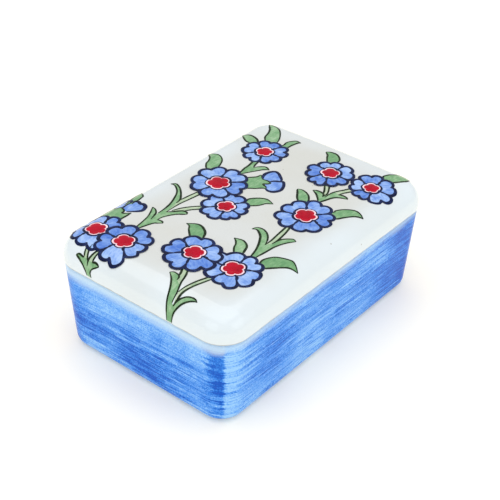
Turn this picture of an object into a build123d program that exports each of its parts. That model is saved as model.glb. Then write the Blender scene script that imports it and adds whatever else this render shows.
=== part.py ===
"""Lidded ceramic jewellery box: a deep drafted tray and a pillow-topped lid that lifts off.

Frame: X runs along the long side, Y along the short side, Z up. The origin is on the table,
under the middle of the box. All sizes are millimetres.

The tray's walls lean out a little towards the rim and roll under at the foot, as a piece pressed
in a plaster mould does. The lid rests on the tray's flat rim, and a ring under it drops inside
the walls to keep it in place. Nothing hinges and nothing fastens: the lid is lifted straight up.
"""

import os

from build123d import *

# Outside of the whole box
lid_length = 150.0  # along X, at the lid's widest
lid_width = 101.0  # along Y, at the lid's widest
box_height = 58.5  # table to the crown of the closed lid
rim_height = 44.8  # table to the seam between tray and lid

# Tray, outside
rim_set_in = 0.7  # how far the tray's rim stands inside the lid's widest line, each side
wall_draft = 2.4  # how much further in the wall stands at the table than at the rim
tray_corner = 11.5  # radius of the tray's four upright corners
foot_roll = 5.5  # radius of the roll from the wall to the underside
rim_outer_round = 1.8  # softened outer edge of the rim
rim_inner_round = 1.2  # softened inner edge of the rim

# Tray, inside
wall = 6.2  # wall thickness at the rim
wall_at_floor = 7.0  # wall thickness at the floor, where clay is left thicker
floor_thickness = 6.8
mouth_corner = 7.0  # radius of the inside's upright corners
floor_cove = 6.0  # radius of the cove between floor and walls

# Tray, underneath
foot_ring_width = 7.5  # flat unglazed ring that the box stands on
foot_recess = 1.2  # depth of the glazed hollow inside the foot ring
foot_recess_corner = 6.0  # plan radius of that hollow's corners
foot_edge_round = 0.5

# Lid
lid_corner = 13.0  # plan radius of the lid's corners
lid_shoulder = 10.2  # radius of the roll from the lid's side to its top
crown_rise = 0.8  # how much higher the top's middle line is than the lid's two long sides
lid_edge_round = 1.3  # softened lower edge of the lid, which makes the shadow line of the seam
ceiling_thickness = 6.4  # clay above the lid's hollow, at the centre
ceiling_cove = 4.0  # radius between the lid's ceiling and its ring

# The ring under the lid that drops inside the tray
ring_clearance = 1.0  # gap to the tray's wall on each side, wide enough for glaze and hand work
ring_depth = 5.0  # how far the ring reaches below the seam
ring_thickness = 5.0
ring_edge_round = 1.6
ring_root_round = 0.8

# Worked out from the sizes above
rim_length = lid_length - 2 * rim_set_in
rim_width = lid_width - 2 * rim_set_in
mouth_length = rim_length - 2 * wall
mouth_width = rim_width - 2 * wall
lid_height = box_height - rim_height
ring_bottom = rim_height - ring_depth
hair = 0.001  # slack when a face or an edge is picked by its height


def plate(length, width, corner, height):
    """A rounded rectangle lying level at a height."""
    return Pos(0, 0, height) * RectangleRounded(length, width, corner)


def level_edges(solid, height):
    """The edges of a solid that lie level at a height."""
    return solid.edges().filter_by_position(Axis.Z, height - hair, height + hair)


def level_face(solid, height):
    """The flat face of a solid that lies level at a height."""
    level = solid.faces().filter_by(Axis.Z)
    return level.filter_by_position(Axis.Z, height - hair, height + hair)[0]


def round_outline(solid, height, radius):
    """Rounds the outer edge of the level face at a height."""
    return fillet(level_face(solid, height).outer_wire().edges(), radius)


def round_opening(solid, height, radius):
    """Rounds the edge of the opening in the level face at a height."""
    return fillet(level_face(solid, height).inner_wires()[0].edges(), radius)


def leaning_slab(plane, across, thickness, low, draft):
    """A slab that stands from a low height up to the rim, its two sides leaning in downwards."""
    half = across / 2
    outline = Polyline(
        (draft - half, low), (half - draft, low), (half, rim_height), (-half, rim_height), close=True
    )
    return extrude(plane * make_face(outline), amount=thickness / 2, both=True)


def drafted_block(length, width, low, draft, corner):
    """A block up to the rim, where two leaning slabs cross: four flat walls and four round corners."""
    along = leaning_slab(Plane.XZ, length, 2 * width, low, draft)
    across = leaning_slab(Plane.YZ, width, 2 * length, low, draft)
    block = along & across
    leaning_edges = block.edges().group_by(Axis.Z)[1]
    return fillet(leaning_edges, corner)


def tray_outside():
    """Drafted block with rounded corners, rolled under where it meets the table."""
    block = drafted_block(rim_length, rim_width, 0, wall_draft, tray_corner)
    return round_outline(block, 0, foot_roll)


def tray_cavity():
    """The hollow of the tray, coved all round where the walls meet the floor."""
    narrowing = wall_draft + wall_at_floor - wall
    hollow = drafted_block(mouth_length, mouth_width, floor_thickness, narrowing, mouth_corner)
    return round_outline(hollow, floor_thickness, floor_cove)


def foot_hollow():
    """Shallow recess underneath that leaves a flat ring to stand on."""
    edge = wall_draft + foot_roll + foot_ring_width
    outline = plate(rim_length - 2 * edge, rim_width - 2 * edge, foot_recess_corner, 0)
    hollow = extrude(outline, amount=foot_recess)
    return fillet(level_edges(hollow, foot_recess), foot_edge_round)


def make_base():
    """The tray, with its rim softened on both edges and its foot ring underneath."""
    tray = tray_outside() - tray_cavity() - foot_hollow()
    tray = round_outline(tray, rim_height, rim_outer_round)
    tray = round_opening(tray, rim_height, rim_inner_round)
    return round_opening(tray, 0, foot_edge_round)


def lid_pillow():
    """The lid's outside: upright sides, a wide rolled shoulder and a slightly swollen top."""
    blank = extrude(plate(lid_length, lid_width, lid_corner, rim_height), amount=lid_height)
    crown_radius = (lid_width / 2) ** 2 / (2 * crown_rise)
    crown = Rot(0, 90, 0) * Cylinder(crown_radius, 1.2 * lid_length)
    blank &= Pos(0, 0, box_height - crown_radius) * crown
    top = blank.faces().sort_by(Axis.Z)[-1]
    return fillet(top.outer_wire().edges(), lid_shoulder)


def lid_ring():
    """The locating ring, from the lid's underside down past the seam."""
    length = mouth_length - 2 * ring_clearance
    width = mouth_width - 2 * ring_clearance
    outline = plate(length, width, mouth_corner - ring_clearance, ring_bottom)
    ring = extrude(outline, amount=ring_depth)
    return fillet(level_edges(ring, ring_bottom), ring_edge_round)


def lid_hollow():
    """The hollow inside the ring, coved where it meets the ceiling."""
    length = mouth_length - 2 * (ring_clearance + ring_thickness)
    width = mouth_width - 2 * (ring_clearance + ring_thickness)
    ceiling = box_height - ceiling_thickness
    outline = plate(length, width, mouth_corner, ring_bottom)
    hollow = extrude(outline, amount=ceiling - ring_bottom)
    return fillet(level_edges(hollow, ceiling), ceiling_cove)


def make_lid():
    """The lid: pillow, ring and hollow, with every handled edge softened."""
    lid = lid_pillow() + lid_ring()
    lid = round_opening(lid, rim_height, ring_root_round)
    lid = round_outline(lid, rim_height, lid_edge_round)
    lid -= lid_hollow()
    return round_opening(lid, ring_bottom, ring_edge_round)


pieces = {"base": make_base(), "lid": make_lid()}
os.makedirs("parts", exist_ok=True)
for node, solid in pieces.items():
    export_step(solid, f"parts/{node}.step")
    print(node, "volume", round(solid.volume / 1000, 1), "cm3")
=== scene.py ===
import math
import random

import bmesh
import bpy
from mathutils import Matrix, Vector


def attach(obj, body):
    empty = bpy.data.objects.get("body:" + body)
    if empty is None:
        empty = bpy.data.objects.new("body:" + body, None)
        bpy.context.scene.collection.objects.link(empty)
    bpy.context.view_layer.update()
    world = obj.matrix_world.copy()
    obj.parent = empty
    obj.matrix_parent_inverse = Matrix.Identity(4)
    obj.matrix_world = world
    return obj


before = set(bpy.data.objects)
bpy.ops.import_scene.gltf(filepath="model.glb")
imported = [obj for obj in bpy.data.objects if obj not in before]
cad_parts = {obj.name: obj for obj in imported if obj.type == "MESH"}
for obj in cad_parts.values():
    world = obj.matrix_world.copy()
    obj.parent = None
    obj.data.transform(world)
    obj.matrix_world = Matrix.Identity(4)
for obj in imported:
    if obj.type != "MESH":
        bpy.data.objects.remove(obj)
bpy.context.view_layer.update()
mm = 0.001                      # the frame is in metres, and the sizes below are in millimetres
hand = random.Random(7)         # the painter's small unevenness, the same on every run
print("frame loaded", sorted(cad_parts))

# Picture

picture = {
    "side": 500,                # pixels, square
    "focal": 1177.7,            # pixels, from the photograph's perspective
    "azimuth": -51.65,          # degrees round from the middle of the long front side
    "elevation": 34.63,         # degrees above the table
    "roll": 1.55,               # degrees
    "distance": 566.8,          # mm from the box's foot, along the view
    "slideRight": 1.93,         # mm
    "slideUp": 27.84,           # mm
    "sensor": 36.0,
}


def makeCamera():
    az, el, roll = (math.radians(picture[k]) for k in ("azimuth", "elevation", "roll"))
    back = Vector((math.sin(az) * math.cos(el), -math.cos(az) * math.cos(el), math.sin(el)))
    level = (-back).cross(Vector((0, 0, 1))).normalized()
    upright = level.cross(-back)
    right = level * math.cos(roll) + upright * math.sin(roll)
    up = upright * math.cos(roll) - level * math.sin(roll)
    place = back * picture["distance"] + right * picture["slideRight"] + up * picture["slideUp"]
    data = bpy.data.cameras.new("camera")
    data.sensor_width = picture["sensor"]
    data.lens = picture["focal"] / picture["side"] * picture["sensor"]
    data.clip_start, data.clip_end = 0.01, 20
    camera = bpy.data.objects.new("camera", data)
    bpy.context.scene.collection.objects.link(camera)
    turn = Matrix((right, up, back)).transposed().to_4x4()
    camera.matrix_world = Matrix.Translation(place * mm) @ turn
    bpy.context.scene.camera = camera


makeCamera()
print("camera placed")

# Materials: each is one node tree, written as sums of its sockets


class Wire:
    def __init__(self, glaze, socket):
        self.glaze = glaze
        self.socket = socket

    def maths(self, operation, first, second):
        return self.glaze.maths(operation, first, second)

    def __add__(self, other):
        return self.maths("ADD", self, other)

    def __sub__(self, other):
        return self.maths("SUBTRACT", self, other)

    def __rsub__(self, other):
        return self.maths("SUBTRACT", other, self)

    def __mul__(self, other):
        return self.maths("MULTIPLY", self, other)

    def __gt__(self, other):
        return self.maths("GREATER_THAN", self, other)

    def __lt__(self, other):
        return self.maths("LESS_THAN", self, other)

    __radd__ = __add__
    __rmul__ = __mul__


class Glaze:
    def __init__(self, name, **fixed):
        self.material = bpy.data.materials.new(name)
        self.material.use_nodes = True
        self.tree = self.material.node_tree
        self.shader = self.tree.nodes["Principled BSDF"]
        for socket, value in fixed.items():
            self.shader.inputs[socket.replace("_", " ")].default_value = value

    def node(self, kind, settings=None, sockets=None, output=0):
        made = self.tree.nodes.new(kind)
        for key, value in (settings or {}).items():
            if key == "stops":
                self.setStops(made.color_ramp, value)
            else:
                setattr(made, key, value)
        for key, value in (sockets or {}).items():
            if isinstance(value, Wire):
                self.tree.links.new(value.socket, made.inputs[key])
            else:
                made.inputs[key].default_value = value
        return Wire(self, made.outputs[output])

    def setStops(self, ramp, stops):
        while len(ramp.elements) < len(stops):
            ramp.elements.new(0.5)
        for element, (place, colour) in zip(ramp.elements, stops):
            element.position = place
            element.color = colour

    def feed(self, **sockets):
        for socket, wire in sockets.items():
            self.tree.links.new(wire.socket, self.shader.inputs[socket.replace("_", " ")])

    def maths(self, operation, first, second=0.0):
        return self.node("ShaderNodeMath", {"operation": operation}, {0: first, 1: second})

    def vector(self, operation, first, second=(0, 0, 0), output=0):
        return self.node("ShaderNodeVectorMath", {"operation": operation}, {0: first, 1: second}, output)

    def place(self):
        return self.node("ShaderNodeTexCoord", output="Object")

    def noise(self, place, scale, detail=2.0, roughness=0.5):
        sockets = {"Vector": place, "Scale": scale, "Detail": detail, "Roughness": roughness}
        return self.node("ShaderNodeTexNoise", None, sockets)

    def marks(self, place, scales, detail, roughness):
        # noise drawn out one way, as a brush leaves it: a scale each for x, y and z
        return self.noise(self.vector("MULTIPLY", place, scales), 1, detail, roughness)

    def step(self, value, low, high):
        sockets = {"Value": value, "From Min": low, "From Max": high}
        return self.node("ShaderNodeMapRange", {"interpolation_type": "SMOOTHSTEP"}, sockets)

    def blend(self, factor, first, second):     # sockets 0, 6, 7 and output 2 are the colour ones
        return self.node("ShaderNodeMix", {"data_type": "RGBA"}, {0: factor, 6: first, 7: second}, 2)

    def ramp(self, value, *stops):
        return self.node("ShaderNodeValToRGB", {"stops": stops}, {"Fac": value})

    def axis(self, place, letter):
        return self.node("ShaderNodeSeparateXYZ", None, {0: place}, letter)

    def bump(self, height, distance, strength):
        sockets = {"Height": height, "Distance": distance, "Strength": strength}
        return self.node("ShaderNodeBump", None, sockets)


def ink(red, green, blue):
    # a colour as a picture shows it, 0 to 255, turned into the light that it stands for
    parts = (c / 255 for c in (red, green, blue))
    return tuple(c / 12.92 if c < 0.04045 else ((c + 0.055) / 1.055) ** 2.4 for c in parts) + (1.0,)


# Tray: blue glaze laid on with a wide brush, level round all four sides

tray = {
    "pale": ink(156, 206, 254),
    "light": ink(102, 168, 248),
    "blue": ink(50, 134, 234),
    "deep": ink(8, 84, 194),
    "wash": ink(206, 230, 248),         # where the brush ran dry under the rim
    "white": ink(228, 232, 229),
    "clay": ink(206, 188, 164),
    "darkClay": ink(188, 166, 138),
    "tilt": 0.02,                       # how far the brush strokes run off level
    "broad": (9, 9, 130),               # marks to a metre along x, y and z
    "streak": (20, 20, 640),
    "bristle": (60, 60, 1900),
    "blotch": (75, 75, 210),
    "load": (40, 40, 90),
    "poolDepth": 0.50,                  # how far towards the deep blue the glaze goes where it pools
    "sheenDepth": 0.26,                  # how far towards the pale blue the painted highlight goes
    "wander": 0.004,                    # metres from here on: how far the strokes wave up and down
    "rim": 0.0448,
    "change": (0.0230, 0.0260),         # x less y, where a long side's strokes turn into a short side's
    "drop": (0.010, 0.026),             # down from the rim, where a short side grows dark and blotched
    "pool": (0.0365, 0.0425),           # out along y, where the glaze pools beside a corner
    "paintedSheen": (0.058, 0.067),             # out along x, where a painted highlight grows beside the same corner
    "longEnd": (0.026, 0.070),          # out along x and y, where the sides darken to the other corners
    "shortEnd": (0.030, 0.050),
    "fade": (0.0080, 0.0012),           # down from the rim, where the blue starts to fade and is gone
    "footFade": (0.0030, 0.0012),       # up from the table, the same at the foot
    "rimWhite": (0.0728, 0.0483, 0.010),    # half sizes and corner of the white glaze on the rim
    "rimLow": 0.0436,                       # height where that glaze starts
    "inside": (0.0705, 0.0458, 0.008),      # half sizes and corner of the hollow's white glaze
    "floorLow": 0.0062,                     # height where that glaze starts
    "foot": (0.0665, 0.0420, 0.006),        # the same of the bare clay ring's outer edge
    "recess": (0.0589, 0.0344, 0.006),      # and of its inner edge
}


def pastCore(glaze, place, half):
    # how far a point lies outside an upright rectangle about the middle, seen from above
    past = glaze.vector("SUBTRACT", glaze.vector("ABSOLUTE", place), (*half, 1))
    return glaze.vector("LENGTH", glaze.vector("MAXIMUM", past), output="Value")


def within(glaze, place, halfX, halfY, corner):
    # 1 inside an upright rounded rectangle, 0 outside it
    return pastCore(glaze, place, (halfX - corner, halfY - corner)) < corner


def paintTray():
    glaze = Glaze("brushedBlueGlaze", Specular_IOR_Level=0.14)
    place = glaze.place()
    x, y, z = (glaze.axis(place, letter) for letter in "XYZ")
    wander = glaze.noise(place, 16, detail=1.0)
    tilt = (x + y) * tray["tilt"] + (wander - 0.5) * tray["wander"]
    lean = glaze.node("ShaderNodeCombineXYZ", None, {2: tilt})
    bent = glaze.vector("ADD", place, lean)
    broad = glaze.marks(bent, tray["broad"], detail=2.0, roughness=0.55)
    streak = glaze.marks(bent, tray["streak"], detail=3.0, roughness=0.7)
    bristle = glaze.marks(bent, tray["bristle"], detail=2.0, roughness=0.7)
    cloud = glaze.noise(place, 34, detail=3.0, roughness=0.6)
    grain = glaze.noise(place, 1500, roughness=0.6)
    farX = glaze.maths("ABSOLUTE", x)
    farY = glaze.maths("ABSOLUTE", y)
    ragged = (cloud - 0.5) * 0.012 + (streak - 0.5) * 0.010
    short = glaze.step(farX - farY + ragged * 0.45, *tray["change"])

    # the short sides are smooth and light above, dark and blotched towards the foot
    drop = glaze.step(tray["rim"] - z + ragged * 0.6, *tray["drop"])
    smooth = short * (1 - drop)
    depth = 0.48 + (broad - 0.5) * 0.7 + (streak - 0.5) * (1.3 - smooth * 0.7)
    depth = depth + (bristle - 0.5) * (1.6 - smooth * 0.9) + (grain - 0.5) * 1.2
    blotch = glaze.marks(bent, tray["blotch"], detail=3.0, roughness=0.65)
    depth = depth + (cloud - 0.5) * 0.8 + (blotch - 0.5) * short * drop * 1.1
    depth = depth + (drop - 0.5) * (0.06 + short * 0.22)

    # at two opposite corners the glaze pools on the short side, and the long side is paler in a painted
    # highlight beside the corner edge
    sameSign = glaze.step(x * y, -0.0002, 0.0002)
    pool = short * sameSign * glaze.step(farY + ragged + (z - 0.030) * 0.15, *tray["pool"])
    paintedSheen = (1 - short) * sameSign * glaze.step(farX + ragged, *tray["paintedSheen"])

    # at the other two it darkens on both
    longEnd = (1 - short) * glaze.step(farX + ragged * 2, *tray["longEnd"])
    end = (1 - sameSign) * (longEnd + short * glaze.step(farY, *tray["shortEnd"]))
    load = glaze.marks(bent, tray["load"], detail=3.0, roughness=0.6)
    depth = depth + pool * tray["poolDepth"] - paintedSheen * tray["sheenDepth"] + end * (0.16 + load * 0.56)
    colour = glaze.ramp(depth, (0.10, tray["pale"]), (0.42, tray["light"]), (0.66, tray["blue"]),
                        (1.0, tray["deep"]))

    # dry brush under the rim, thin glaze at the foot, then white glaze and bare clay
    fadeFrom, fadeTo = (tray["rim"] - down for down in tray["fade"])
    fade = glaze.step(z + ragged * 0.5 - (1 - short) * 0.0026, fadeFrom, fadeTo)
    colour = glaze.blend(fade * 0.85, colour, tray["wash"])
    foot = glaze.step(z + (bristle - 0.5) * 0.002, *tray["footFade"])
    colour = glaze.blend(foot * 0.5, colour, tray["pale"])
    onRim = within(glaze, place, *tray["rimWhite"]) * (z > tray["rimLow"])
    inHollow = within(glaze, place, *tray["inside"]) * (z > tray["floorLow"])
    colour = glaze.blend(glaze.maths("MAXIMUM", onRim, inHollow), colour, tray["white"])
    standing = glaze.step(z, 0.0006, 0.0002) * within(glaze, place, *tray["foot"])
    speck = glaze.noise(place, 2400, detail=3.0, roughness=0.7)
    clay = glaze.blend(glaze.step(speck, 0.35, 0.7), tray["clay"], tray["darkClay"])
    colour = glaze.blend(standing, colour, clay)
    recess = within(glaze, place, *tray["recess"]) * glaze.step(z, 0.005, 0.004)
    colour = glaze.blend(recess, colour, tray["white"])
    bare = standing * (1 - recess)
    glaze.feed(Base_Color=colour, Roughness=0.26 + bare * 0.5 + (streak - 0.5) * 0.12)
    glaze.feed(Normal=glaze.bump(streak + broad * 2 + bristle * 0.5, 0.00010, 0.7))
    return glaze.material


# Lid: a clear glaze over white clay; the painting on it is modelled further down

cover = {
    "warm": ink(211, 212, 206),         # on the flat top
    "white": ink(215, 218, 217),
    "sheenColour": ink(224, 234, 240),         # painted sheen on the shoulder, lighter and bluer than the flat top
    "paintedSheen": (0.050, 0.024),             # metres, half sizes of the part of the top with no painted sheen
    "seam": ink(150, 146, 136),         # painted shade along the line under the lid's edge, and dust in the pinholes
    "seamBand": (0.0449, 0.0451),       # metres up, where that line starts and is full
    "seamEnd": (0.0462, 0.0455),        # where it is gone and still full
    "pits": 90,                         # pinholes to a metre
    "core": (64.8, 40.3),               # mm from here on: half sizes of the flat top inside the shoulder
    "coreCorner": 2.8,
    "shoulder": 10.2,                   # radius of the roll from the top to the sides
    "crownRadius": 1593.9,              # of the slight curve of the top across its width
    "top": 58.5,
}


def paintCover():
    glaze = Glaze("whiteGlaze", Roughness=0.16, Coat_Weight=0.5, Coat_Roughness=0.06)
    place = glaze.place()
    z = glaze.axis(place, "Z")
    cloud = glaze.noise(place, 30, detail=3.0)
    colour = glaze.blend(glaze.step(cloud, 0.35, 0.68), cover["warm"], cover["white"])
    outwards = pastCore(glaze, place, cover["paintedSheen"])
    # painted sheen: the colour grows lighter and bluer out from the flat top over the shoulder
    sheenMask = glaze.step(outwards + (cloud - 0.5) * 0.012, 0.004, 0.030)
    colour = glaze.blend(sheenMask, colour, cover["sheenColour"])
    # painted shade: a dark line along the lid's lower edge, where it meets the tray
    seam = glaze.step(z + (glaze.noise(place, 160) - 0.5) * 0.0010, *cover["seamEnd"])
    colour = glaze.blend(seam * glaze.step(z, *cover["seamBand"]) * 0.7, colour, cover["seam"])
    sockets = {"Vector": place, "Scale": cover["pits"]}
    spot = glaze.node("ShaderNodeTexVoronoi", {"feature": "F1"}, sockets, "Distance")
    pit = glaze.step(spot, 0.045, 0.02)
    colour = glaze.blend(pit * 0.6, colour, cover["seam"])
    swell = glaze.noise(place, 95)
    glaze.feed(Base_Color=colour, Roughness=0.14 + (glaze.noise(place, 220) - 0.5) * 0.06)
    glaze.feed(Normal=glaze.bump(swell - pit * 0.3, 0.00018, 0.3))
    return glaze.material


for nodeName, material in (("base", paintTray()), ("lid", paintCover())):
    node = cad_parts[nodeName]
    node.data.materials.clear()
    node.data.materials.append(material)
print("glazes laid on the tray and the lid")


def ontoLid(u, v, lift):
    # a flat sheet laid on the lid: u and v run over the top and on down over the shoulder
    halfU, halfV = (half - cover["coreCorner"] for half in cover["core"])
    inner = Vector((max(-halfU, min(halfU, u)), max(-halfV, min(halfV, v))))
    away = Vector((u, v)) - inner
    past = max(0.0, away.length - cover["coreCorner"])
    outward = away.normalized() if away.length > 0 else Vector((0, 0))
    foot = Vector((u, v)) - outward * past
    shoulder = cover["shoulder"]
    turn = min(past / shoulder, math.pi / 2)
    down = max(0.0, past - shoulder * math.pi / 2)
    reach = shoulder + lift
    crown = cover["crownRadius"]
    centre = cover["top"] - crown + math.sqrt((crown - shoulder) ** 2 - foot.y ** 2)
    flat = foot + outward * reach * math.sin(turn)
    return Vector((flat.x, flat.y, centre + reach * math.cos(turn) - down)) * mm


def smoothLine(points, steps=5):
    # a curve through every point, with a few steps between each two
    points = [Vector(point) for point in points]
    ends = [points[0] * 2 - points[1]] + points + [points[-1] * 2 - points[-2]]
    line = []
    for before, start, end, after in zip(ends, ends[1:], ends[2:], ends[3:]):
        for i in range(steps):
            t = i / steps
            line.append(0.5 * (2 * start + (end - before) * t
                               + (2 * before - 5 * start + 4 * end - after) * t ** 2
                               + (3 * start - before - 3 * end + after) * t ** 3))
    return line + [points[-1]]


# Painting: thin films on the lid, high enough that no line of a lower one shows through an upper one

film = {
    "sink": 0.05,               # mm that a film reaches into the glaze under it
    "lineHeight": 0.17,         # a painted line's height, as a share of its half width
    "stem": 0.05,               # mm from the glaze to the top of each layer
    "bud": 0.05,
    "green": 0.065,
    "calyx": 0.09,
    "lower": 0.13,              # flowers that others overlap
    "upper": 0.31,              # flowers that lie over others
    "ring": 0.05,               # mm over the petals under it
    "red": 0.1,                 # the same
    "dome": 0.34,               # mm that the red middle swells above its edge
    "cut": 1.3,                 # mm between the cuts that let a film bend over the shoulder
    "cuts": (17, 10),           # how many of these there are, out along x and y
    "crossCut": 9.0,            # mm between the cuts along the top, for its slight curve
    "crossCuts": 4,             # how many of these there are on each side of the middle
    "sharpFrom": 50,            # degrees
}


class Paint:
    # one colour of paint, gathered on a flat sheet and then laid over the lid
    def __init__(self, name):
        self.name = name
        self.bm = bmesh.new()
        self.brush = self.bm.loops.layers.uv.new("brush")       # mm across and along the brush's way
        self.tone = self.bm.loops.layers.uv.new("tone")         # how full the brush was, 0 to 1
        self.lines = {}

    def fill(self, outline, top, tone=0.5, root=None, facing=0.0):
        # a film inside an outline; the brush starts at the root and runs the way of the facing angle
        ring = bmesh.ops.create_circle(self.bm, segments=len(outline), radius=1, cap_ends=True)["verts"]
        for vert, point in zip(ring, outline):
            vert.co = (point[0], point[1], -film["sink"])
        ring[0].link_faces[0].normal_update()
        flat = bmesh.ops.triangulate(self.bm, faces=ring[0].link_faces[:], ngon_method="EAR_CLIP")["faces"]
        raised = bmesh.ops.extrude_face_region(self.bm, geom=flat)["geom"]
        upper = [part for part in raised if isinstance(part, bmesh.types.BMVert)]
        root = Vector(root if root else outline[0])
        ahead = Vector((math.cos(facing), math.sin(facing)))
        across = Vector((-ahead.y, ahead.x))
        for vert in upper:
            vert.co.z = top
            for loop in vert.link_loops:
                away = vert.co.xy - root
                loop[self.brush].uv = (away.dot(across), away.dot(ahead))
                loop[self.tone].uv = (tone, 0)
        return [part for part in raised if isinstance(part, bmesh.types.BMFace)]

    def line(self, points, width, top, taper=0.45, steps=5, uneven=0.12):
        # width is half the line's, and taper is the share of it that is left at the ends
        curve = self.lines.get(top)
        if curve is None:
            curve = bpy.data.curves.new(self.name, "CURVE")
            curve.dimensions = "3D"
            curve.bevel_depth = 1.0
            curve.bevel_resolution = 1
            curve.use_fill_caps = True
            self.lines[top] = curve
        path = smoothLine(points, steps)
        spline = curve.splines.new("POLY")
        spline.points.add(len(path) - 1)
        beat = hand.uniform(0, 6)
        for i, (point, place) in enumerate(zip(spline.points, path)):
            t = i / (len(path) - 1)
            swell = taper + (1 - taper) * min(1, 4.5 * t, 4.5 * (1 - t))
            point.co = (place.x, place.y, 0, 1)
            point.radius = width * swell * (1 + uneven * math.sin(beat + 5 * t))

    def gatherLines(self):
        # each line is a round tube, pressed low, with its underside sunk into the glaze
        for top, curve in self.lines.items():
            holder = bpy.data.objects.new(self.name, curve)
            mesh = bpy.data.meshes.new_from_object(holder)
            start = len(self.bm.verts)
            self.bm.from_mesh(mesh)
            self.bm.verts.ensure_lookup_table()
            for vert in self.bm.verts[start:]:
                isBelow = vert.co.z < -0.01
                vert.co.z = -film["sink"] if isBelow else top + vert.co.z * film["lineHeight"]
            bpy.data.objects.remove(holder)
            bpy.data.curves.remove(curve)
            bpy.data.meshes.remove(mesh)

    def cutForShoulder(self):
        # rows of cuts, so that a flat film has edges to bend at
        alongX, alongY = Vector((1, 0, 0)), Vector((0, 1, 0))
        cuts = []
        for facing, half, count in zip((alongX, alongY), cover["core"], film["cuts"]):
            start = half - cover["coreCorner"]
            for side in (-1, 1):
                cuts += [(facing, side * (start + i * film["cut"])) for i in range(count)]
        most = film["crossCuts"]
        cuts += [(alongY, i * film["crossCut"]) for i in range(-most, most + 1)]
        for facing, out in cuts:
            parts = self.bm.verts[:] + self.bm.edges[:] + self.bm.faces[:]
            bmesh.ops.bisect_plane(self.bm, geom=parts, dist=0.001, plane_co=facing * out, plane_no=facing)

    def lay(self, material):
        self.cutForShoulder()
        self.gatherLines()
        bmesh.ops.remove_doubles(self.bm, verts=self.bm.verts[:], dist=0.0005)
        for vert in self.bm.verts:
            vert.co = ontoLid(*vert.co)
        bmesh.ops.triangulate(self.bm, faces=[face for face in self.bm.faces if len(face.verts) > 4])
        bmesh.ops.recalc_face_normals(self.bm, faces=self.bm.faces[:])
        for face in self.bm.faces:
            face.smooth = True
        mesh = bpy.data.meshes.new(self.name)
        self.bm.to_mesh(mesh)
        self.bm.free()
        mesh.set_sharp_from_angle(angle=math.radians(film["sharpFrom"]))
        mesh.materials.append(material)
        piece = bpy.data.objects.new(self.name, mesh)
        bpy.context.scene.collection.objects.link(piece)
        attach(piece, "lid")
        print(self.name, "laid,", len(mesh.polygons), "faces")


# Flowers: five heart-shaped petals round a raised red middle

flower = {
    "outline": 0.8,             # mm, half width of the navy line round a petal
    "budOutline": 0.88,         # the same round a bud's petals
    "spoke": 0.66,              # the same between two petals
    "middleLine": 0.56,         # the same round the pale ring
    "ringWidth": 0.85,          # mm
    "cusp": 0.8,                # mm that the line runs in past a petal's notch
    "valley": 0.60,             # how far out two petals part, as a share of their reach
    "notch": 0.87,              # how far out a petal's notch lies, the same way
    "lobeAngles": (0, 0.02, 0.09, 0.23, 0.38),    # shares of a petal's angle, from the valley on
    "lobeReaches": (0.82, 0.94, 0.98),            # shares of its reach, two before the crest and one past it
    "uneven": (0.985, 1.015),   # how much the hand changes a reach
    "middlePoints": 10,         # points round each of the red middle's five lobes
    "middleDip": 0.82,          # the middle's radius between two lobes, as a share
    "middleSwell": 0.24,        # how much further out a lobe stands
    "dome": ((0.94, 0.35), (0.82, 0.65), (0.62, 0.86), (0.32, 0.98)),    # shares of radius and height
}

# centre, radius of the red middle, layer, then each petal's first angle and the reach of its two
# lobes, anticlockwise; where there is one reach, both lobes have it
flowers = {
    "farLeft": ((-58.4, 38.4), 4.2, "lower",
                ((95, 12, 12.4), (167, 12.9, 15.2), (240, 13.6), (310, 12.6, 13.2), (370, 12.4))),
    "left": ((-57.8, 22.1), 4.2, "upper",
             ((91, 12.5, 13.4), (166, 14.8, 17), (224, 13.7, 12.4), (292, 13.2), (367, 13))),
    "middle": ((5.7, 22.8), 4.8, "upper",
               ((89.5, 13.7), (168, 13.8), (248, 14.2), (314, 14.8), (381, 15))),
    "middleLow": ((-7.6, 7.1), 3.6, "lower", ((50, 12), (135, 12.6), (203, 11.6), (262, 11.2), (333, 11.8))),
    "right": ((42.8, 25), 3.6, "lower", ((59, 11.8), (138, 11.7), (203, 11.7), (275, 12.2), (339, 11.5))),
    "nearLeft": ((-44.5, -6.4), 4.1, "upper",
                 ((69, 13.6, 14.6), (134, 14.3, 14.9), (200, 14, 14.5), (270, 13.4, 12.6), (343, 12.5, 13))),
    "nearLeftLow": ((-42.2, -26.4), 4.3, "lower",
                    ((100, 13.3), (167, 13.2, 14.6), (228, 14.2, 13.3), (300, 13.2, 12.7),
                     (367, 12.3, 13.7))),
    "nearMiddle": ((10.3, -24.5), 4.5, "lower",
                   ((33, 12.9), (114, 14.4), (182, 13.9), (257, 13.7), (319, 13.8))),
    "nearRight": ((47.3, -11.5), 3.8, "upper",
                  ((80, 12.3), (151, 13.5), (200, 12.2), (271, 12), (353, 11))),
    "nearRightLow": ((49.5, -33.5), 3.4, "lower",
                     ((71, 11), (147, 11.5), (206, 13.4), (273, 12), (360, 12.3))),
}

petalPaint = Paint("petalPaint")
navyLines = Paint("navyLines")
ringPaint = Paint("flowerRings")
redPaint = Paint("redMiddles")
leafPaint = Paint("leafPaint")
stemPaint = Paint("stemPaint")
leafLines = Paint("leafLines")


def polar(centre, angle, reach):
    return Vector(centre) + Vector((math.cos(angle), math.sin(angle))) * reach


def halfPetal(centre, start, span, reach, valley, notch, notchAt):
    # half a petal's outline, from the valley beside it round its lobe to the notch
    side, turn, fall = (reach * share for share in flower["lobeReaches"])
    crest = reach * hand.uniform(*flower["uneven"])
    reaches = (valley, side, turn, crest, fall, notch)
    shares = (*flower["lobeAngles"], notchAt)
    return [polar(centre, start + span * share, out) for share, out in zip(shares, reaches)]


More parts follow.
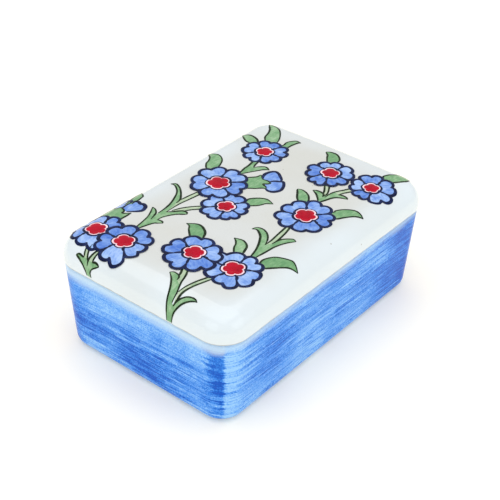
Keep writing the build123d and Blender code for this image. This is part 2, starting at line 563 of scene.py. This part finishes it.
def paintFlower(centre, red, layer, petals):
    lift = film[layer]
    starts = [math.radians(petal[0]) for petal in petals]
    ends = starts[1:] + [starts[0] + 2 * math.pi]
    valleys = [(min(petal[1], before[-1]) - flower["outline"]) * flower["valley"] * hand.uniform(0.97, 1.03)
               for petal, before in zip(petals, petals[-1:] + petals)]
    inner = red + flower["ringWidth"] * 0.5
    middle = []
    for i, (start, end) in enumerate(zip(starts, ends)):
        span = end - start
        one, two = (reach - flower["outline"] for reach in (petals[i][1], petals[i][-1]))
        valley, nextValley = valleys[i], valleys[(i + 1) % len(valleys)]
        notch = (one + two) / 2 * flower["notch"] * hand.uniform(0.97, 1.02)
        lean = hand.uniform(-0.03, 0.03)
        first = halfPetal(centre, start, span, one, valley, notch, 0.5 + lean)
        second = halfPetal(centre, end, -span, two, nextValley, notch, 0.5 - lean)[::-1]
        cusp = polar(centre, start + span * (0.5 + lean), notch - flower["cusp"])
        edge = smoothLine(first, steps=4) + smoothLine(second, steps=4)[1:]
        outline = [polar(centre, start, inner)] + edge + [polar(centre, end, inner)]
        petalPaint.fill(outline, lift, hand.uniform(0, 1), root=centre, facing=start + span / 2)
        navyLines.line(first + [cusp], flower["outline"], lift)
        navyLines.line([cusp] + second, flower["outline"], lift)
        bow = polar(centre, start + hand.uniform(-0.09, 0.09), (inner + valley) / 2)
        spoke = [polar(centre, start, inner), bow, polar(centre, start, valley + 0.3)]
        navyLines.line(spoke, flower["spoke"], lift, taper=0.7)
        for j in range(flower["middlePoints"]):
            share = j / flower["middlePoints"]
            bulge = flower["middleDip"] + flower["middleSwell"] * math.sin(math.pi * share) ** 0.65
            middle.append((start + span * share, red * bulge * hand.uniform(*flower["uneven"])))
    ringPaint.fill([polar(centre, a, r + flower["ringWidth"]) for a, r in middle], lift + film["ring"])
    rim = [polar(centre, a, r + flower["ringWidth"] + 0.2) for a, r in middle]
    navyLines.line(rim + rim[:2], flower["middleLine"], lift, taper=0.8, steps=2, uneven=0.3)
    drop = redPaint.fill([polar(centre, a, r) for a, r in middle], lift + film["red"])
    raiseMiddle(drop, centre, film["dome"])


def raiseMiddle(faces, centre, height):
    # steps in towards the middle and up, so that the drop of glaze stands round
    base = faces[0].verts[0].co.z
    before = 1.0
    for share, rise in flower["dome"]:
        bmesh.ops.inset_region(redPaint.bm, faces=faces, thickness=0.001)
        for vert in {vert for face in faces for vert in face.verts}:
            flat = (vert.co.xy - Vector(centre)) * (share / before) + Vector(centre)
            vert.co = (flat.x, flat.y, base + height * rise)
        before = share


for sizes in flowers.values():
    paintFlower(*sizes)
print("flowers drawn")

# Leaves: the flower that the foot lies under, and two edges from the foot to the tip

leaf = {
    "line": 0.48,               # mm, half width of the dark line round a leaf
    "tuck": 2.5,                # mm that its foot reaches in under the flower
}

leaves = (
    ("nearLeft", ((-37, 2.5), (-34.7, 5), (-32.5, 7.3), (-30.2, 9.1), (-29.6, 11.3)),
     ((-32.9, -1.6), (-30.2, -0.2), (-28.4, 1.8), (-27, 4.5), (-27, 7.3), (-29.6, 11.3))),
    ("nearLeftLow", ((-32, -18), (-30, -16.5), (-27.7, -15.5), (-25.7, -13.8), (-24.5, -12)),
     ((-30.3, -22), (-28.3, -21.3), (-26, -20.3), (-24.3, -18.3), (-23.5, -15.7), (-24.5, -12))),
    ("nearLeftLow", ((-32, -32), (-29.3, -31.6), (-26.1, -32.7), (-23.4, -35), (-21.4, -40.3),
                     (-21.8, -43.1), (-24.3, -47.2)),
     ((-32.9, -36.4), (-30.2, -38.9), (-27.5, -41.4), (-25.6, -43.6), (-24.3, -47.2))),
    ("middleLow", ((0.9, 2.9), (3.9, 3.3), (6.6, 1.4), (8.5, -1), (9.4, -3.7), (8.1, -7.8)),
     ((0.5, -1.3), (2.2, -3), (3.9, -4.1), (6.1, -5), (7.4, -6.7), (8.1, -7.8))),
    ("middle", ((13, 36.7), (16, 39.3), (19, 40.3), (21.5, 41.8), (23.5, 44), (25.5, 46.5)),
     ((16.5, 32.5), (19.5, 33.5), (23, 35.3), (25.3, 37.8), (26.3, 40.3), (26, 42.5), (25.5, 46.5))),
    ("right", ((45.3, 37.5), (45.8, 39.5), (47.5, 42), (50, 45)),
     ((48.5, 33.5), (50.5, 36), (51.5, 39), (51.5, 42), (50, 45))),
    ("right", ((52, 32), (55, 34.3), (59, 35.5), (62.5, 37.3), (65, 39.5), (67.5, 41.5)),
     ((55.5, 26.5), (59.5, 28.5), (63.5, 31.5), (66, 34.5), (67, 38), (67.5, 41.5))),
    ("right", ((54.5, 22), (57, 22.5), (59.5, 21.5), (61.5, 19.5), (61.3, 16.8)),
     ((53, 19), (56, 18.8), (59, 18.3), (60.5, 17.8), (61.3, 16.8))),
    ("nearMiddle", ((18.3, -14.1), (20.1, -12.3), (23.1, -10.2), (25, -8.7), (25.9, -8.2)),
     ((19.8, -18.7), (22.4, -17.3), (24.6, -15.4), (26.1, -12.8), (26.6, -10.2), (25.9, -8.2))),
    ("nearMiddle", ((21.3, -32.4), (22.7, -32.3), (25.3, -33.9), (27.6, -36.5), (28.7, -39.1),
                    (28.1, -42.1), (26.8, -44.7)),
     ((17.6, -36.5), (20.1, -38), (22.4, -39.5), (24.6, -41.3), (26.1, -43.2), (26.8, -44.7))),
    ("nearRight", ((55.5, -3.5), (58.2, -1.5), (60.5, -0.1), (62.3, 2.2)),
     ((57.7, -8), (60, -7.6), (62.5, -5.5), (63.9, -2.8), (63.6, 0.4), (62.3, 2.2))),
    ("nearRightLow", ((60.5, -32.4), (62.3, -31.7), (65, -32.8), (66.8, -34.2), (69.1, -35.5), (73, -41)),
     ((60.5, -38.3), (61.8, -39.2), (64.5, -41), (67.3, -41.9), (73, -41))),
    ("farLeft", ((-31, 41.2), (-29.2, 41), (-26.7, 41.4), (-25, 42), (-22.5, 45.5)),
     ((-33, 44), (-29, 45.5), (-26, 46), (-22.5, 45.5))),
)


def tucked(edge, name):
    # an edge that starts in under the flower that covers it
    inwards = (Vector(flowers[name][0]) - Vector(edge[0])).normalized()
    return [Vector(edge[0]) + inwards * leaf["tuck"]] + list(edge)


for name, upper, lower in leaves:
    upper = tucked(upper, name)
    lower = tucked(lower, name)
    edge = smoothLine(upper) + smoothLine(lower)[::-1][1:]
    leafPaint.fill(edge, film["green"], hand.uniform(0.2, 0.8), root=upper[0])
    leafLines.line(upper, leaf["line"], film["green"])
    leafLines.line(lower, leaf["line"] * hand.uniform(0.85, 1.25), film["green"])
print("leaves drawn")

# Stems and the sprigs that they part from: named lines, then what each colour fills between them

sprigs = {
    "farRoot": {
        "top": ((-81.9, 28), (-79.8, 29), (-77.8, 30.7), (-76.1, 33.2), (-75, 35.3), (-74.4, 35.5)),
        "back": ((-74.4, 35.5), (-74, 34), (-74.4, 31.9), (-74.2, 31.3)),
        "highOver": ((-74.2, 31.3), (-72.3, 32.1), (-70.5, 32.7), (-67, 34)),
        "highUnder": ((-75, 29), (-73.2, 29.8), (-70.3, 30.9), (-67, 31.5)),
        "lowOver": ((-77.3, 28.2), (-74.8, 28.5), (-72.3, 28), (-69.4, 26.9), (-66, 25.5)),
        "lowUnder": ((-75, 26), (-72.8, 26), (-69.4, 25.5), (-66, 24)),
        "leafIn": ((-75, 25.9), (-74.4, 24.8), (-74.6, 23.2), (-75.3, 21.9)),
        "leafOut": ((-82.1, 25.5), (-79.8, 26.1), (-77.8, 25.3), (-76.5, 23.6), (-75.3, 21.9)),
        "green": ("top", "back", "leafIn", "-leafOut"),
        "pale": (("highOver", "-highUnder"), ("lowOver", "-lowUnder")),
    },
    "farMain": {
        "oneTop": ((-48, 26), (-45, 26.3), (-40, 27.2), (-36, 28.3), (-32.5, 30), (-29.3, 31.9)),
        "oneUnder": ((-29.3, 31.9), (-30, 29.6), (-31.5, 27.8), (-33, 26.9), (-37.3, 25.5)),
        "twoTop": ((-31.5, 26.5), (-27, 26.8), (-22, 27.8), (-17, 29.8), (-13, 32), (-10.2, 34.8),
                   (-8.7, 37.5), (-9, 39.4)),
        "twoUnder": ((-9, 39.4), (-7.4, 37.8), (-8, 35.5), (-10, 32.5), (-13, 29.5), (-16.5, 26.8),
                     (-20, 26)),
        "threeOut": ((-48, 24.8), (-45.3, 24.4), (-42, 23.5), (-39, 22.4), (-37.7, 21), (-36.3, 19.2)),
        "threeIn": ((-36.3, 19.2), (-35.4, 20.6), (-35.6, 22.4), (-36, 23)),
        "fourOut": ((-36, 23), (-33, 22.8), (-30, 21.5), (-27, 19.6), (-25, 17.2), (-23.9, 16)),
        "fourIn": ((-23.9, 16), (-22.8, 17.2), (-23.2, 19.5), (-26, 22), (-28.5, 24.3)),
        "highOver": ((-17, 26.4), (-12, 25.9), (-6, 25), (-2, 24.5)),
        "highUnder": ((-28.5, 24.4), (-20, 24.5), (-14, 23.7), (-8, 22.9), (-3, 22.3)),
        "lowOver": ((-26, 23.3), (-22, 21.5), (-18.5, 19.2), (-15.3, 16.3), (-13, 14)),
        "lowUnder": ((-22.7, 18.8), (-20, 17.2), (-17.5, 15), (-15, 12.5)),
        "green": ("oneTop", "oneUnder", "twoTop", "twoUnder", "-fourIn", "-fourOut", "-threeIn",
                  "-threeOut"),
        "pale": (((-20, 26), "highOver", "-highUnder"), ("lowOver", "-lowUnder")),
    },
    "farRight": {
        "over": ((18, 21), (20.3, 21.5), (24, 22.3), (27.5, 22.5), (31.5, 23.3), (34, 23.8)),
        "under": ((27.5, 19.5), (30, 20.5), (32.5, 21), (35, 21.3)),
        "leafOut": ((18, 20.5), (20, 19.8), (22.5, 18.5), (25.5, 16.8), (28.5, 15), (30, 13.5),
                    (30.5, 12.3)),
        "leafIn": ((30.5, 12.3), (31.5, 14.3), (31.5, 16), (29.8, 18), (27.5, 19.5)),
        "green": ("over", "-under", "-leafIn", "-leafOut"),
        "pale": (),
    },
    "nearRoot": {
        "top": ((-82.7, -18.3), (-80, -18.2), (-77.3, -17.7), (-74, -16.7), (-70, -15.3),
                (-67.3, -13.8), (-65, -12), (-63.3, -10.2), (-61.6, -8)),
        "back": ((-61.6, -8), (-60.5, -9.2), (-60.4, -10.7), (-60.8, -12.3), (-62, -13.5), (-63.7, -14)),
        "highOver": ((-60.8, -12.7), (-58.7, -11.7), (-57, -10.8), (-54, -9.5)),
        "highUnder": ((-74, -19.4), (-71.3, -19.2), (-69, -18.8), (-66, -17.5), (-63.3, -16.2),
                      (-60.7, -15.3), (-58.3, -14.3), (-55.7, -12.8), (-53, -11.5)),
        "lowOver": ((-68.7, -19.3), (-65.3, -19.7), (-62.7, -20), (-59.3, -20.7), (-56.7, -21.5),
                    (-54.2, -22.3), (-51, -23)),
        "lowUnder": ((-75, -20.5), (-72, -21), (-69, -21), (-65.3, -21.5), (-62.3, -22),
                     (-59.3, -22.8), (-55.3, -24), (-52, -25)),
        "leafIn": ((-75, -20.6), (-72.7, -21.2), (-70.7, -22.3), (-69, -24), (-68.2, -26),
                   (-68.2, -28), (-69, -29.5)),
        "leafOut": ((-82.7, -21), (-80, -21.3), (-77.3, -21.8), (-75, -22.7), (-72.3, -24.2),
                    (-70.3, -26.2), (-69.2, -28.2), (-69, -29.5)),
        "green": ("top", "back", (-66, -17.5), (-69, -18.8), (-74, -19.4), "leafIn", "-leafOut"),
        "pale": (((-63.7, -14), "highOver", "-highUnder"), ("lowOver", "-lowUnder")),
    },
    "nearMain": {
        "top": ((-33, -26.6), (-31.7, -26.3), (-28.7, -25.7), (-25.3, -24.7), (-22, -23.3),
                (-18.7, -21.5), (-16, -19.7), (-14, -17.3), (-13, -15.2), (-13.9, -13.3)),
        "back": ((-13.9, -13.3), (-12, -14), (-11, -15.7), (-11, -17.7), (-12, -20), (-13.7, -22),
                 (-16, -23.7), (-17.7, -24.5), (-19.7, -25.3)),
        "over": ((-19.7, -25.3), (-16, -25.3), (-12, -24.8), (-8, -24.3), (-3.7, -23.8), (0, -23.5)),
        "under": ((-17.3, -27.1), (-14, -27.3), (-10.7, -27), (-7.3, -26.5), (-4.3, -25.8),
                  (-2, -25.2), (1, -24.8)),
        "leafIn": ((-17.3, -27.1), (-13, -27.7), (-11, -28.7), (-9.3, -30.3), (-8.2, -32), (-8.8, -33.8)),
        "leafOut": ((-32, -28.2), (-28.7, -28.3), (-25.3, -28.7), (-22, -29), (-18.7, -29.3),
                    (-15.3, -30.2), (-12.3, -31.5), (-10.3, -32.8), (-8.8, -33.8)),
        "green": ("top", "back", "leafIn", "-leafOut"),
        "pale": (("over", "-under"),),
    },
    "nearRight": {
        "top": ((22.5, -22), (24.6, -20.8), (26.8, -18.7), (28.3, -16.9), (29.8, -14.1)),
        "back": ((29.8, -14.1), (30.7, -15.8), (30.9, -18), (30.1, -20), (27.9, -21)),
        "highOver": ((30, -19.9), (32.7, -18.5), (35.5, -16.7), (37.3, -15.5), (40, -14)),
        "highUnder": ((28, -20.9), (31, -21.1), (33.6, -20.2), (35.9, -18.9), (38, -17.6), (41, -16)),
        "lowOver": ((28.5, -21.9), (33, -22.1), (36, -23), (38.7, -24.5), (41.1, -25.7), (43.5, -27)),
        "lowUnder": ((34.5, -25.3), (36.8, -26.2), (39.1, -27.4), (42, -29)),
        "leafIn": ((34.5, -25.3), (35.2, -27.4), (35, -29.4), (34.1, -30.8)),
        "leafOut": ((22.5, -22.5), (24.2, -22.8), (26.8, -23.7), (29.4, -24.5), (31.8, -26),
                    (33.2, -28.3), (34.1, -30.8)),
        "green": ("top", "back", (31, -21.4), (35, -23), "leafIn", "-leafOut"),
        "pale": (("highOver", "-highUnder"), ("lowOver", "-lowUnder")),
    },
}


def outlineOf(sprig, parts):
    # the parts in turn: a line's name, the same turned round with a minus, or a point
    edge = []
    for part in parts:
        if isinstance(part, str):
            line = smoothLine(sprig[part.lstrip("-")])
            edge += line[::-1] if part.startswith("-") else line
        else:
            edge.append(Vector(part))
    return [point for i, point in enumerate(edge) if (point - edge[i - 1]).length > 0.02]


for sprig in sprigs.values():
    leafPaint.fill(outlineOf(sprig, sprig["green"]), film["green"], tone=0.4)
    for parts in sprig["pale"]:
        stemPaint.fill(outlineOf(sprig, parts), film["stem"])
    for key, line in sprig.items():
        if key not in ("green", "pale"):
            leafLines.line(line, leaf["line"] * hand.uniform(0.85, 1.15), film["green"])
print("stems drawn")

# Buds: a green cup, scalloped at its mouth, and two petals that show past it

buds = {
    "middleBud": {
        "cupUpper": ((16, 18), (19.8, 14.5), (22, 12.8), (24.5, 12.5)),
        "cupLower": ((9, 12), (11.3, 9.3), (13, 7), (15.3, 4.8), (16.3, 3)),
        "cupMouth": ((24.5, 12.3), (22, 9.5), (22.3, 6.5), (21.5, 4.5), (20, 5), (18.8, 6.5), (18, 5.5),
                     (17.5, 4), (16.3, 2.8)),
        "petalNear": ((16.3, 3.3), (15.5, 1), (16.5, -1.5), (19.5, -3), (22.5, -2.3), (25, -0.8),
                      (26.3, 0.8), (25, 2.5), (24, 4)),
        "petalFar": ((22, 9.5), (24, 10.8), (26.5, 11.5), (29.5, 10.8), (31.3, 9), (30.8, 6.8),
                     (29.5, 5), (27.5, 2.5), (25.5, 1.8)),
        "between": ((22.3, 5.5), (24, 4.3), (26, 1.8)),
        "heart": (20.5, 7),
    },
    "farBud": {
        "cupUpper": ((-50, 46), (-46, 47.5), (-42, 48), (-38.5, 47)),
        "cupLower": ((-48, 35.5), (-45.8, 35.8), (-42.5, 35.8), (-39.2, 35.8)),
        "cupMouth": ((-38.5, 47), (-40.5, 45), (-38.7, 43), (-39, 41), (-40, 39.5), (-41.7, 38.9),
                     (-40.8, 37.3), (-39.2, 35.8)),
        "petalNear": ((-39.6, 38.3), (-37.5, 35.8), (-35.4, 33.9), (-33.8, 33.5), (-31.3, 34.5),
                      (-30.2, 36.6), (-30.8, 38), (-30.2, 39.9), (-31, 41.6), (-33, 42.2)),
        "petalFar": ((-33.5, 42), (-31.5, 43), (-30.6, 45.5), (-31.8, 48), (-34.5, 49), (-37.2, 48.5),
                     (-38.6, 47)),
        "between": ((-39, 42), (-36, 42.3), (-33, 42.2)),
        "heart": (-40, 42),
    },
}

for bud in buds.values():
    for key in ("petalNear", "petalFar"):
        petalPaint.fill(smoothLine(bud[key]) + [Vector(bud["heart"])], film["bud"], root=bud["heart"])
        navyLines.line(bud[key], flower["budOutline"], film["bud"])
    navyLines.line(bud["between"], flower["spoke"], film["bud"])
    cup = smoothLine(bud["cupUpper"]) + smoothLine(bud["cupMouth"]) + smoothLine(bud["cupLower"])[::-1]
    leafPaint.fill(cup, film["calyx"], tone=0.6, root=bud["cupLower"][0])
    for key in ("cupUpper", "cupMouth", "cupLower"):
        leafLines.line(bud[key], leaf["line"], film["calyx"])
print("buds drawn")

# Paints: thin washes that show the brush, under a glossy glaze

paints = {
    "petalBlue": {"pale": ink(166, 196, 244), "body": ink(122, 160, 228), "full": ink(70, 116, 206)},
    "leafGreen": {"pale": ink(164, 196, 158), "body": ink(124, 170, 122), "full": ink(92, 146, 98)},
    "stemGreen": {"pale": ink(210, 216, 194), "body": ink(180, 200, 168), "full": ink(134, 170, 130)},
    "navyLine": {"pale": ink(34, 52, 104), "body": ink(12, 24, 66), "full": ink(4, 10, 36)},
    "leafLine": {"pale": ink(58, 78, 48), "body": ink(26, 42, 22), "full": ink(12, 22, 12)},
    "redDrop": {"pale": ink(200, 0, 48), "body": ink(182, 0, 36), "full": ink(134, 0, 28)},
    "paleRing": {"pale": ink(255, 240, 244), "body": ink(250, 222, 230), "full": ink(240, 180, 196)},
}


def wash(name, streak, mottle, roughness=0.14, gloss=0.28):
    # streak and mottle say how much the brush marks and the pooled colour change the tone
    colours = paints[name]
    glaze = Glaze(name, Roughness=roughness, Specular_IOR_Level=gloss)
    brush = glaze.node("ShaderNodeUVMap", {"uv_map": "brush"})
    tone = glaze.axis(glaze.node("ShaderNodeUVMap", {"uv_map": "tone"}), "X")
    place = glaze.place()
    strokes = glaze.marks(brush, (1.1, 0.22, 1), detail=3.0, roughness=0.6)     # scales to a mm here
    pools = glaze.noise(place, 260, detail=3.0, roughness=0.55)
    grain = glaze.noise(place, 1500)
    depth = 0.5 + (tone - 0.5) * 0.5 + (strokes - 0.5) * streak + (pools - 0.5) * mottle
    depth = depth + (grain - 0.5) * 0.25
    colour = glaze.ramp(depth, (0.12, colours["pale"]), (0.5, colours["body"]), (0.92, colours["full"]))
    glaze.feed(Base_Color=colour, Normal=glaze.bump(strokes + pools, 0.00006, 0.5))
    return glaze.material


def brushedLine(name):
    # lines have no brush map of their own, so their tone follows the place alone
    colours = paints[name]
    glaze = Glaze(name, Roughness=0.22, Specular_IOR_Level=0.12)
    place = glaze.place()
    pools = glaze.noise(place, 420, detail=3.0, roughness=0.6)
    grain = glaze.noise(place, 1800)
    depth = 0.5 + (pools - 0.5) * 1.4 + (grain - 0.5) * 0.5
    colour = glaze.ramp(depth, (0.15, colours["pale"]), (0.5, colours["body"]), (0.9, colours["full"]))
    glaze.feed(Base_Color=colour)
    return glaze.material


petalPaint.lay(wash("petalBlue", streak=0.9, mottle=1.3))
navyLines.lay(brushedLine("navyLine"))
ringPaint.lay(brushedLine("paleRing"))
redPaint.lay(wash("redDrop", streak=0.3, mottle=0.9, roughness=0.08, gloss=0.12))
leafPaint.lay(wash("leafGreen", streak=0.9, mottle=1.1))
stemPaint.lay(wash("stemGreen", streak=0.6, mottle=1.1))
leafLines.lay(brushedLine("leafLine"))

# Studio

studio = {
    "sky": 0.70,
    "lamps": {                          # place, target and size in metres, then power and colour
        "overhead": ((0, 0.1, 1.6), (0, 0, 0), (2.4, 2.4), 15.0, (1, 1, 1)),
        "front": ((0.3, -1.5, 0.75), (0, 0, 0.03), (1.6, 0.9), 3.5, (0.94, 0.98, 1)),
        "left": ((-1.5, 0.1, 0.75), (0, 0, 0.03), (1.4, 0.9), 3.0, (0.9, 0.95, 1)),
    },
    "floor": (0.98, 0.955, 0.9, 1),
    "floorGlow": (0.15, 0.125, 0.06, 1),    # keeps the paper white and neutral beside the blue walls
}


def softbox(name, place, target, size, power, colour):
    data = bpy.data.lights.new(name, "AREA")
    data.shape = "RECTANGLE"
    data.size, data.size_y = size
    data.energy = power
    data.color = colour
    lamp = bpy.data.objects.new(name, data)
    bpy.context.scene.collection.objects.link(lamp)
    lamp.location = place
    lamp.rotation_euler = (Vector(target) - Vector(place)).to_track_quat("-Z", "Y").to_euler()


def makeStudio():
    world = bpy.data.worlds.new("studio")
    bpy.context.scene.world = world
    world.use_nodes = True
    sky = world.node_tree.nodes["Background"]
    sky.inputs["Color"].default_value = (1, 1, 1, 1)
    sky.inputs["Strength"].default_value = studio["sky"]
    for name, settings in studio["lamps"].items():
        softbox(name, *settings)
    bpy.context.scene.view_settings.view_transform = "Standard"
    mesh = bpy.data.meshes.new("floor")
    bm = bmesh.new()
    bmesh.ops.create_grid(bm, x_segments=1, y_segments=1, size=3)
    bm.to_mesh(mesh)
    bm.free()
    floor = bpy.data.objects.new("floor", mesh)
    bpy.context.scene.collection.objects.link(floor)
    paper = Glaze("floorPaper", Roughness=0.8)
    paper.shader.inputs["Base Color"].default_value = studio["floor"]
    paper.shader.inputs["Emission Color"].default_value = studio["floorGlow"]
    paper.shader.inputs["Emission Strength"].default_value = 1
    mesh.materials.append(paper.material)


makeStudio()
print("studio lit")
